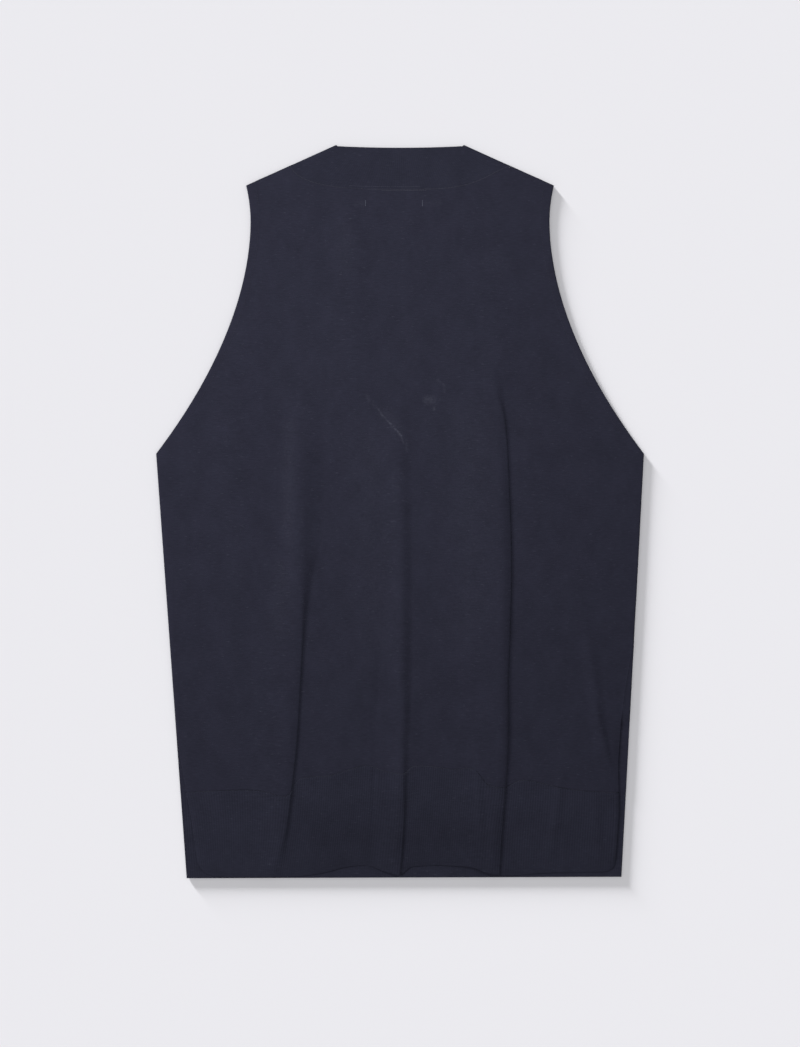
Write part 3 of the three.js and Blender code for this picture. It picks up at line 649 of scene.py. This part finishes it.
def back_wall():
    """The back as one wall. A row is a level of the vest, drawn down by the neck seam and up by the hem
    seam: a point's depth is that share of the way from its column's top to its bottom."""
    rows = [
        SHOULDER_DROP + EDGE_STEPS[:-1],
        np.linspace(SHOULDER_DROP + EDGE_STEPS[-1], ARMHOLE_DEPTH, SHOULDER_ROWS)[:-1],
        np.linspace(ARMHOLE_DEPTH, ARMPIT_DEPTH, ARMHOLE_ROWS)[:-1],
        np.linspace(ARMPIT_DEPTH, HEM_SEAM_DEPTH - EDGE_STEPS[-1], BODY_ROWS),
        HEM_SEAM_DEPTH - EDGE_STEPS[-2::-1],
    ]
    level = np.concatenate(rows)
    x = back_columns(level)
    across = np.abs(x[0])
    shoulder = SHOULDER_SLOPE * (across - NECK_HALF)
    in_neck = across < BAND_HALF + CURVED_GAP
    top = np.where(in_neck, back_seam_depth(x[0]) + neck_gap(across), shoulder)
    seam = read(HEM_SEAM, 1, x[-1]) - GAP / 2
    level = level[:, None]
    depth = mix(top, seam, (level - SHOULDER_DROP) / (HEM_SEAM_DEPTH - SHOULDER_DROP))
    spread = edge_spread(level)
    left, right = (x - x[:, :1]) / spread, (x[:, -1:] - x) / spread
    started = smooth((level - TURNED_FROM + SEWN_START) / SEWN_START)
    sewn = started * (1 - smooth((level - SLIT_TOP + SEWN_END / 2) / SEWN_END))
    slit = smooth((level - SLIT_TOP) / SLIT_OPENING)
    raised = armhole_turning(np.minimum(left, right), level) + side_ridges(x, level, right, sewn)
    raised = raised + NECK_RIM * in_neck * ridge(depth - top - NECK_RIM_INSIDE, NECK_RIM_HALF)
    to_sides = smooth((np.abs(x) - HEM_MIDDLE_HALF) / (HEM_SIDES_FROM - HEM_MIDDLE_HALF))
    ends = np.where(in_neck, NECK_ROUND, SHOULDER_ROUND) * rounded(depth - top)
    ends = ends + mix(HEM_MIDDLE_ROUND, HEM_SIDE_ROUND, to_sides) * rounded(seam - depth)
    falls = side_falls(left, right, slit, sewn) + ends
    return back_points(x, depth, level, raised - np.minimum(falls, EDGE_ROUND))


# Painted highlights, pale where ridges and the folds' flanks catch the light: x and depth of a line's
# two ends, how wide it is to each side, and its strength
HIGHLIGHT_LINES = [
    (-31.8, 241.8, -30.3, 247.1, 2.6, 0.07), (-27, 250, -20.9, 254.8, 2, 0.04),
    (-20.9, 254.8, -17.2, 261, 1.5, 0.10), (-17.2, 261, -9.3, 268.9, 1.5, 0.12),
    (-9.3, 268.9, 1, 280.4, 1.6, 0.18), (1, 280.4, 3.5, 287.7, 1.4, 0.11),
    (6.5, 285.2, 6.5, 293.8, 2, 0.09), (-14.4, 257.7, 0, 277, 10, 0.035),
    (26.5, 245.8, 30.3, 245.8, 6, 0.13), (32.6, 254.3, 32.9, 255.3, 2.4, 0.15),
    (32.7, 253.9, 38.7, 245.2, 1.4, 0.05), (36.3, 226.9, 42.4, 231.7, 1.8, 0.06),
    (42.4, 231.7, 42.9, 238.5, 1.8, 0.06), (-42, 57.5, -35.5, 57, 4.5, 0.05),
    (24, 57, 38, 55.5, 4.5, 0.035), (-54, 82, -52, 118, 16, 0.020),
    (84, 108, 104, 116, 14, 0.014), (-107, 272, -108, 380, 11, 0.034),
    (-114, 405, -116, 470, 17, 0.026), (-28, 290, -22, 470, 38, 0.022),
    (66, 275, 66, 460, 42, 0.024),
]
HIGHLIGHT_COLOUR = (0.16, 0.165, 0.215, 1.0)
PATCH_GRAINS, PATCH_RISE = ((0.5, 0.5, 0.5), 2.0), (0.30, 0.62)


def near_line(place, x0, depth0, x1, depth1, half):
    """1 on a straight line, fading to 0 at a distance of half from it."""
    start = spot(x0, depth0, 0.0) * MM
    run = (spot(x1, depth1, 0.0) * MM) - start
    flat = place.vector("MULTIPLY", place, (1.0, 1.0, 0.0))
    offset = place.vector("SUBTRACT", flat, tuple(start))
    along = place.vector("DOT_PRODUCT", offset, tuple(run / np.dot(run, run)), output=VECTOR_VALUE)
    on_line = rise_between(along, 0.0, 1.0).scaled(tuple(run))
    distance = place.vector("DISTANCE", offset, on_line, output=VECTOR_VALUE)
    return rise_between(distance * (-1 / (half * MM)), -1.0, 0.0)


def painted_highlights(place, colours):
    """Painted highlights: pale lines along the V's point, over the front's neck seam beneath the back, and
    pale patches where the folds' flanks, the chest and the yoke catch the light."""
    patchy = rise_between(grains(place, *PATCH_GRAINS), *PATCH_RISE)
    for x0, depth0, x1, depth1, half, strength in HIGHLIGHT_LINES:
        highlight = near_line(place, x0, depth0, x1, depth1, half) * patchy * strength
        colours = blended(highlight, colours, HIGHLIGHT_COLOUR)
    return colours


# The back's knit, with the painted highlights on its colour
back_knit = cloth_material("back_knit", NAVY, NAVY_FLECK, KNIT_RELIEF_MM, plain_relief, painted_highlights)
back_outer, back_inner = back_wall()
back_cloth = wall_object("back_cloth", (back_outer, back_inner), back_knit)
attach(back_cloth, "root")
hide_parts("back_panel")

# Back hem: a band of one by one rib, linked to the back's lower edge, with rounded corners at the side
# slits. The folds of the back run on through it, and it lies on the front's hem.
# x, then the depth of the hem's lower edge
HEM_EDGE = [
    (-210, 705), (-135, 706), (-96, 705), (-72, 701.5), (-53, 696.5),
    (-31, 695), (-14, 701), (0, 704), (12, 696), (67, 696),
    (84, 702), (100, 704.5), (140, 702), (208, 700.5),
]
LEFT_CORNER, RIGHT_CORNER = 20.0, 11.0
BACK_HEM_ROWS = 14
STRIP_RIBS = [21, 21, 51, 44, 23, 23]
# The share of the ribs' height below the cloth's face, how far the lower edge falls, and over how much
RIB_SUNK, LOWER_FALL, LOWER_FALL_REACH = 0.2, 1.25, 12
# Its upper edge: a share of a full rounding, and a low rim with its place and half width
HEM_TOP_ROUND, HEM_RIM, HEM_RIM_INSIDE, HEM_RIM_HALF = 0.15, 0.25, 1.1, 1.0
# Painted shade on the hem's colour, darker between the outer folds: a line's ends, its half width, and
# # by what share
HEM_SHADE_LINE, HEM_SHADE_SHARE = (-75.0, 668.0, 80.0, 668.0, 46.0), 0.16


def hem_edge_depth(x):
    """Depth of the lower edge over the columns from left to right, lifted at both corners by a circle."""
    corners = rounded(x - x[0], LEFT_CORNER) + rounded(x[-1] - x, RIGHT_CORNER)
    return read(HEM_EDGE, 1, x) - corners


def back_hem_wall():
    """The back's rows carried on: each strip between two of its lines holds a whole number of ribs."""
    level = rows_between(HEM_SEAM_DEPTH, BODY_LENGTH, BACK_HEM_ROWS)
    lines = back_lines(level)
    shares = [np.arange(1, n * POINTS_PER_RIB + 1) / (n * POINTS_PER_RIB) for n in STRIP_RIBS]
    strips = [mix(a[:, None], b[:, None], s) for a, b, s in zip(lines[:-1], lines[1:], shares)]
    x = np.concatenate([lines[0][:, None], *strips], axis=1)
    top = read(HEM_SEAM, 1, x[0]) + GAP / 2
    edge = hem_edge_depth(x[-1])
    level = level[:, None]
    depth = mix(top, edge, (level - HEM_SEAM_DEPTH) / (BODY_LENGTH - HEM_SEAM_DEPTH))
    left, right = x - x[:, :1], x[:, -1:] - x
    inside = np.minimum(np.minimum(left, right), edge - depth)
    relief = RIB_RELIEF * (rib_wave(sum(STRIP_RIBS)) - RIB_SUNK) * smooth(inside / RIB_FADE)
    lower = LOWER_FALL * np.clip(1 - (edge - depth) / LOWER_FALL_REACH, 0, 1) ** 2
    falls = side_falls(left, right, slit=1, sewn=0) + lower + HEM_TOP_ROUND * rounded(depth - top)
    rims = slit_rim(right) + HEM_RIM * ridge(depth - top - HEM_RIM_INSIDE, HEM_RIM_HALF)
    return back_points(x, depth, level, relief + rims - np.minimum(falls, EDGE_ROUND))


def painted_hem_shade(place, colours):
    """Painted shade: the hem's colour is a little darker between the outer folds."""
    return (1.0 - near_line(place, *HEM_SHADE_LINE) * HEM_SHADE_SHARE).scaled(colours)


# The back hem's knit, with the painted shade on its colour
hem_knit = cloth_material("hem_knit", RIB_NAVY, NAVY_FLECK, RIB_BUMP_MM, rib_relief, painted_hem_shade)
back_hem_rib = wall_object("back_hem_rib", back_hem_wall(), hem_knit)
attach(back_hem_rib, "root")
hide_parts("back_hem")

# Neckband: one length of one by one rib, joined in a ring and linked to the neck edge. It lies on top
# across the back, folds over at the shoulders, and runs below to the point of the V.
BAND_RIBS = 80
# Height of its ribs, and the share of a full rounding that its seam edge has
BAND_RELIEF, BAND_SEAM_ROUND = 0.14, 0.2
BAND_ROWS, FOLD_POINTS, LEG_POINTS = 12, 12, 90


def band_wall():
    """The band as a ring of cross-sections. Each is set by its neck and seam corners and by the angle it
    has turned through: none across the back, half a turn over each shoulder's fold, and held from there
    down the legs. Its two faces are circles about the fold's line, cut short by the rounded edges."""
    t = np.linspace(-1, 1, BAND_RIBS * POINTS_PER_RIB + 1)
    back_neck = np.stack([FOLD_NECK[0] * t, mix(BACK_NECK_DIP, FOLD_NECK[1], t**2)])
    back_seam = np.stack([FOLD_SEAM[0] * t, back_seam_depth(FOLD_SEAM[0] * t)])
    turn = np.linspace(0, np.pi, FOLD_POINTS + 1)[1:]
    fold_neck, fold_seam = (np.repeat(p[:, None], FOLD_POINTS, axis=1) for p in (FOLD_NECK, FOLD_SEAM))
    share = np.linspace(0, 1, LEG_POINTS + 1)[1:]
    leg_neck = np.stack(v_curve(FOLD_NECK, FRONT_POINT_DEPTH, share))
    leg_seam = np.stack(v_curve(FOLD_SEAM, FRONT_SEAM_DEPTH, share))
    mirror = np.array([[-1], [1]])

    def ringed(back, fold, leg):
        """The back's row, then the right fold's and leg's, then the left ones up from the point."""
        right = np.concatenate([fold, leg], axis=1)
        left = (right * mirror)[:, :-1][:, ::-1]
        return np.concatenate([back, right, left], axis=1)[:, :-1]

    neck, seam = ringed(back_neck, fold_neck, leg_neck), ringed(back_seam, fold_seam, leg_seam)
    down = np.concatenate([turn, np.full(LEG_POINTS, np.pi)])
    angle = np.concatenate([0 * t, down, down[:-1][::-1]])[:-1]
    side = np.sign(neck[0])
    wave = np.concatenate([rib_wave(BAND_RIBS), np.zeros(2 * len(down) - 2)])
    width = np.hypot(*(seam - neck))
    even = np.linspace(0, 1, BAND_ROWS)[1:-1, None]
    steps = EDGE_STEPS[:, None]
    from_neck = np.concatenate(
        [steps + 0 * width, steps[-1] + even * (width - 2 * steps[-1]), width - steps[::-1]]
    )
    inside = np.minimum(from_neck, width - from_neck)
    place = neck[:, None, :] + (seam - neck)[:, None, :] * (from_neck / width)
    on_top = smooth((np.cos(angle) + 1) / 2)
    ribs = BAND_RELIEF * (wave - RIB_SUNK) * smooth(inside / RIB_FADE) * on_top
    rim = BAND_RIM * ridge(width - from_neck - NECK_RIM_INSIDE, NECK_RIM_HALF) * on_top
    falls = rounded(from_neck) + BAND_SEAM_ROUND * rounded(width - from_neck)
    radius = FOLD_RADIUS - falls + ribs + rim

    def turned(radius):
        """Each cross-section's points at a radius from the fold's line, turned by its angle."""
        out = np.sin(angle) * radius / FOLD_RADIUS
        x = place[0] - side * fold_in[0] * out
        return spot(x, place[1] - fold_in[1] * out, FOLD_RADIUS + radius * np.cos(angle))

    return turned(radius), turned(GAP / 2 + 0 * radius)


band_outer, band_inner = band_wall()
neck_rib = wall_object("neck_rib", (band_outer, band_inner), rib_knit, ring=True)
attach(neck_rib, "root")
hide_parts("neckband_back", "neckband_left", "neckband_right")

# Seams and stitches: the neckband and the hem are linked on with a chain of small loops, the armhole
# turnings are held by a line of stitches, and two short bars of pale thread sit below the back neck.
BEAD_ROUND, BEAD_ALONG = 6, 5


def bead_shape():
    """Points and faces of one bead: circles whose radius is the cosine of their latitude, and two poles."""
    latitude = np.linspace(-np.pi / 2, np.pi / 2, BEAD_ALONG)[1:-1, None]
    longitude = np.arange(BEAD_ROUND) * 2 * np.pi / BEAD_ROUND
    ring = np.cos(latitude)
    rings = np.stack(
        np.broadcast_arrays(np.sin(latitude), ring * np.cos(longitude), ring * np.sin(longitude)), axis=-1
    )
    points = np.concatenate([[(-1.0, 0.0, 0.0)], rings.reshape(-1, 3), [(1.0, 0.0, 0.0)]])
    number = 1 + np.arange(rings.shape[0] * BEAD_ROUND).reshape(-1, BEAD_ROUND)
    after = np.roll(number, -1, axis=1)
    quads = np.stack([number[:-1], after[:-1], after[1:], number[1:]], axis=-1).reshape(-1, 4)
    last = len(points) - 1
    first_cap = np.stack([0 * number[0], after[0], number[0]], axis=-1)
    last_cap = np.stack([0 * number[-1] + last, number[-1], after[-1]], axis=-1)
    triangles = np.concatenate([quads[:, [0, 1, 2]], quads[:, [0, 2, 3]], first_cap, last_cap])
    return points, triangles


def beads_along(path, pitch, half_sizes, slant=0.0):
    """Beads every pitch along a path of points, their long side along it and turned by slant, in radians,
    about the vertical. half_sizes are half their length, width and height."""
    run = np.append(0, np.cumsum(np.linalg.norm(np.diff(path, axis=0), axis=1)))
    at = np.arange(pitch / 2, run[-1], pitch)
    middle = np.stack([np.interp(at, run, path[:, k]) for k in range(3)], axis=-1)
    ahead = np.stack([np.interp(at + pitch / 2, run, path[:, k]) for k in range(3)], axis=-1)
    along = ahead - middle
    along = along / np.linalg.norm(along, axis=1, keepdims=True)
    side = np.cross((0.0, 0.0, 1.0), along)
    side = side / np.linalg.norm(side, axis=1, keepdims=True)
    up = np.cross(along, side)
    long = np.cos(slant) * along + np.sin(slant) * side
    wide = np.cos(slant) * side - np.sin(slant) * along
    shape, triangles = bead_shape()
    sized = shape * half_sizes
    axes = enumerate((long, wide, up))
    points = middle[:, None] + sum(sized[None, :, k, None] * axis[:, None] for k, axis in axes)
    faces = triangles[None] + (np.arange(len(middle)) * len(shape))[:, None, None]
    return points.reshape(-1, 3), faces.reshape(-1, 3)


def beads_object(name, rows, material):
    """One object from several rows of beads."""
    points, faces, start = [], [], 0
    for row_points, row_faces in rows:
        points.append(row_points)
        faces.append(row_faces + start)
        start += len(row_points)
    return faced_object(name, np.concatenate(points), np.concatenate(faces), material)


THREAD_GRAINS, THREAD_RELIEF_MM = ((3.0, 3.0, 3.0), 2.0), 0.05
# name, colour and fleck
THREADS = [
    ("navy_thread", (0.040, 0.041, 0.060), NAVY_FLECK),
    ("tape_thread", (0.062, 0.064, 0.088), NAVY_FLECK),
    ("pale_thread", (0.095, 0.10, 0.135), (0.3, 0.3, 0.36)),
]


def thread_relief(place):
    """Twisted thread: fine fuzz alone."""
    return grains(place, *THREAD_GRAINS)


navy_thread, tape_thread, pale_thread = (
    cloth_material(*thread, THREAD_RELIEF_MM, thread_relief) for thread in THREADS
)

# For each row of loops or stitches: their pitch, half their length, width and height, and their slant
NECK_CHAIN, HEM_CHAIN = (1.4, (0.74, 0.54, 0.36), 0.35), (1.3, (0.74, 0.38, 0.32), 0.35)
ARMHOLE_STITCH, TACK_STITCH = (2.4, (0.95, 0.16, 0.10)), (1.15, (0.75, 0.27, 0.22), 0.3)
LABEL_STITCH, TAPE_STITCH = (1.9, (0.8, 0.24, 0.14)), (1.9, (0.8, 0.18, 0.10))
# How high each row stands over the cloth, and the hem chain's waves: height, turn a mm and start
NECK_CHAIN_UP, HEM_CHAIN_UP, ARMHOLE_UP, LABEL_UP, TAPE_UP, TACK_UP = 0.22, 0.14, 0.12, 0.32, 0.12, 0.05
HEM_CHAIN_WAVES = [(0.1, 0.23, 0.0), (0.12, 0.061, 1.0)]
# Which points the rows run along: short of the fold's end, the side edges and the armpits
CHAIN_SHORT, HEM_CHAIN_INSIDE, ARMHOLE_POINTS = 2, 3, slice(4, 64)

over_shoulders = np.arange(-FOLD_POINTS + CHAIN_SHORT, BAND_RIBS * POINTS_PER_RIB + FOLD_POINTS)
neck_path = band_outer[-1, over_shoulders] + (0.0, -SEWN_GAP / 2, NECK_CHAIN_UP)
hem_path = back_outer[-1, HEM_CHAIN_INSIDE:-HEM_CHAIN_INSIDE].copy()
hem_waves = [height * np.sin(turn * hem_path[:, 0] + start) for height, turn, start in HEM_CHAIN_WAVES]
hem_path[:, 2] += sum(hem_waves) + HEM_CHAIN_UP
stitched = int(np.argmin(np.abs(EDGE_COLUMNS - TURNING_STITCHES)))
chain = [beads_along(neck_path, *NECK_CHAIN), beads_along(hem_path, *HEM_CHAIN)]
for column in (stitched, -1 - stitched):
    armhole_path = back_outer[ARMHOLE_POINTS, column] + (0.0, 0.0, ARMHOLE_UP)
    chain.append(beads_along(armhole_path, *ARMHOLE_STITCH))
stitching = beads_object("stitching", chain, navy_thread)
# Two short lines of stitches: their ends and points, and how far below and above the neck seam
LABEL_SPAN, LABEL_BELOW = (-18.0, 26.0, 40), 1.1
TAPE_SPAN, TAPE_ABOVE = (-49.0, 20.0, 60), 2.6
label_x, tape_x = np.linspace(*LABEL_SPAN), np.linspace(*TAPE_SPAN)
label_line = spot(label_x, back_seam_depth(label_x) + LABEL_BELOW, BACK_BASE + WALL + LABEL_UP)
tape_line = spot(tape_x, back_seam_depth(tape_x) - TAPE_ABOVE, BACK_BASE + WALL + TAPE_UP)
tape_rows = [beads_along(label_line, *LABEL_STITCH), beads_along(tape_line, *TAPE_STITCH)]
tape_stitches = beads_object("tape_stitches", tape_rows, tape_thread)
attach(tape_stitches, "root")
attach(stitching, "root")

TACK_X, TACK_TOP, TACK_LENGTH, TACK_POINTS = (-33.2, 21.7), 53.8, 6.0, 5
tack_depth = np.linspace(TACK_TOP, TACK_TOP + TACK_LENGTH, TACK_POINTS)
tack_rows = []
for tack_x in TACK_X:
    tack_z = BACK_BASE + WALL + back_form(0 * tack_depth + tack_x, tack_depth)[0] + TACK_UP
    tack_rows.append(beads_along(spot(tack_x, tack_depth, tack_z), *TACK_STITCH))
bar_tacks = beads_object("bar_tacks", tack_rows, pale_thread)
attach(bar_tacks, "root")

# Floor and light: a plain pale surface under an even fill. One softbox lights the vest from the left
# and one from above its neck. The floor has lights of its own: one overhead, and a low one from the
# upper left that the vest's edge shades.
FLOOR_HALF_M, FLOOR_DROP_M = 25.0, 0.0002
PAPER_FINISH = {"Base Color": (0.80, 0.795, 0.83, 1.0), "Roughness": 0.9, "Specular IOR Level": 0.1}
FILL_COLOUR, FILL_STRENGTH = (1.0, 1.0, 1.0, 1.0), 0.40
floor_mesh = bpy.data.meshes.new("floor")
corners = [(-1, -1), (1, -1), (1, 1), (-1, 1)]
floor_points = [(x * FLOOR_HALF_M, y * FLOOR_HALF_M, -FLOOR_DROP_M) for x, y in corners]
floor_mesh.from_pydata(floor_points, [], [(0, 1, 2, 3)])
floor = bpy.data.objects.new("floor", floor_mesh)
bpy.context.scene.collection.objects.link(floor)
paper = bpy.data.materials.new("pale_paper")
paper.use_nodes = True
paper_shader = paper.node_tree.nodes["Principled BSDF"]
for socket, value in PAPER_FINISH.items():
    paper_shader.inputs[socket].default_value = value
floor_mesh.materials.append(paper)


def lamp(name, kind, measure, value, energy, azimuth, elevation, distance_m, lit, blockers):
    """A light that looks at the vest's middle from an azimuth, counted from +Y towards -X, in degrees. It
    falls on the lit pieces alone, shaded by the blockers alone where there are any."""
    data = bpy.data.lights.new(name, kind)
    setattr(data, measure, value)
    data.energy = energy
    light = bpy.data.objects.new(name, data)
    turn, lift = np.radians(azimuth), np.radians(elevation)
    towards = Vector((-np.sin(turn) * np.cos(lift), np.cos(turn) * np.cos(lift), np.sin(lift)))
    light.location = distance_m * towards
    light.rotation_euler = (np.radians(90 - elevation), 0.0, np.radians(180 + azimuth))
    bpy.context.scene.collection.objects.link(light)
    groups = [("_lit", "receiver_collection", lit), ("_shaded_by", "blocker_collection", blockers)]
    for ending, role, group in groups:
        if group:
            held = bpy.data.collections.new(name + ending)
            for piece in group:
                held.objects.link(piece)
            setattr(light.light_linking, role, held)


pieces = [front_cloth, side_turning, front_hem_rib, back_cloth, back_hem_rib, neck_rib]
pieces += [stitching, tape_stitches, bar_tacks]
front = [front_cloth, front_hem_rib]
# name, kind, size in metres or angle in radians, strength, azimuth and elevation in degrees, distance
# in metres, what it lights and what shades that
LIGHTS = [
    ("side_softbox", "AREA", "size", 0.8, 27.0, 88.0, 30.0, 2.4, pieces, []),
    ("top_softbox", "AREA", "size", 0.3, 2.0, 15.0, 62.0, 0.7, pieces, []),
    ("low_light", "SUN", "angle", np.radians(7.2), 15.6, 38.0, 4.6, 3.0, [floor], front),
    ("overhead", "SUN", "angle", np.radians(30.0), 0.24 * np.pi, 0.0, 90.0, 3.0, [floor], []),
]
for light in LIGHTS:
    lamp(*light)
world = bpy.data.worlds.new("fill")
world.use_nodes = True
fill = world.node_tree.nodes["Background"]
fill.inputs["Color"].default_value = FILL_COLOUR
fill.inputs["Strength"].default_value = FILL_STRENGTH
bpy.context.scene.world = world
bpy.context.scene.view_settings.view_transform = "Standard"
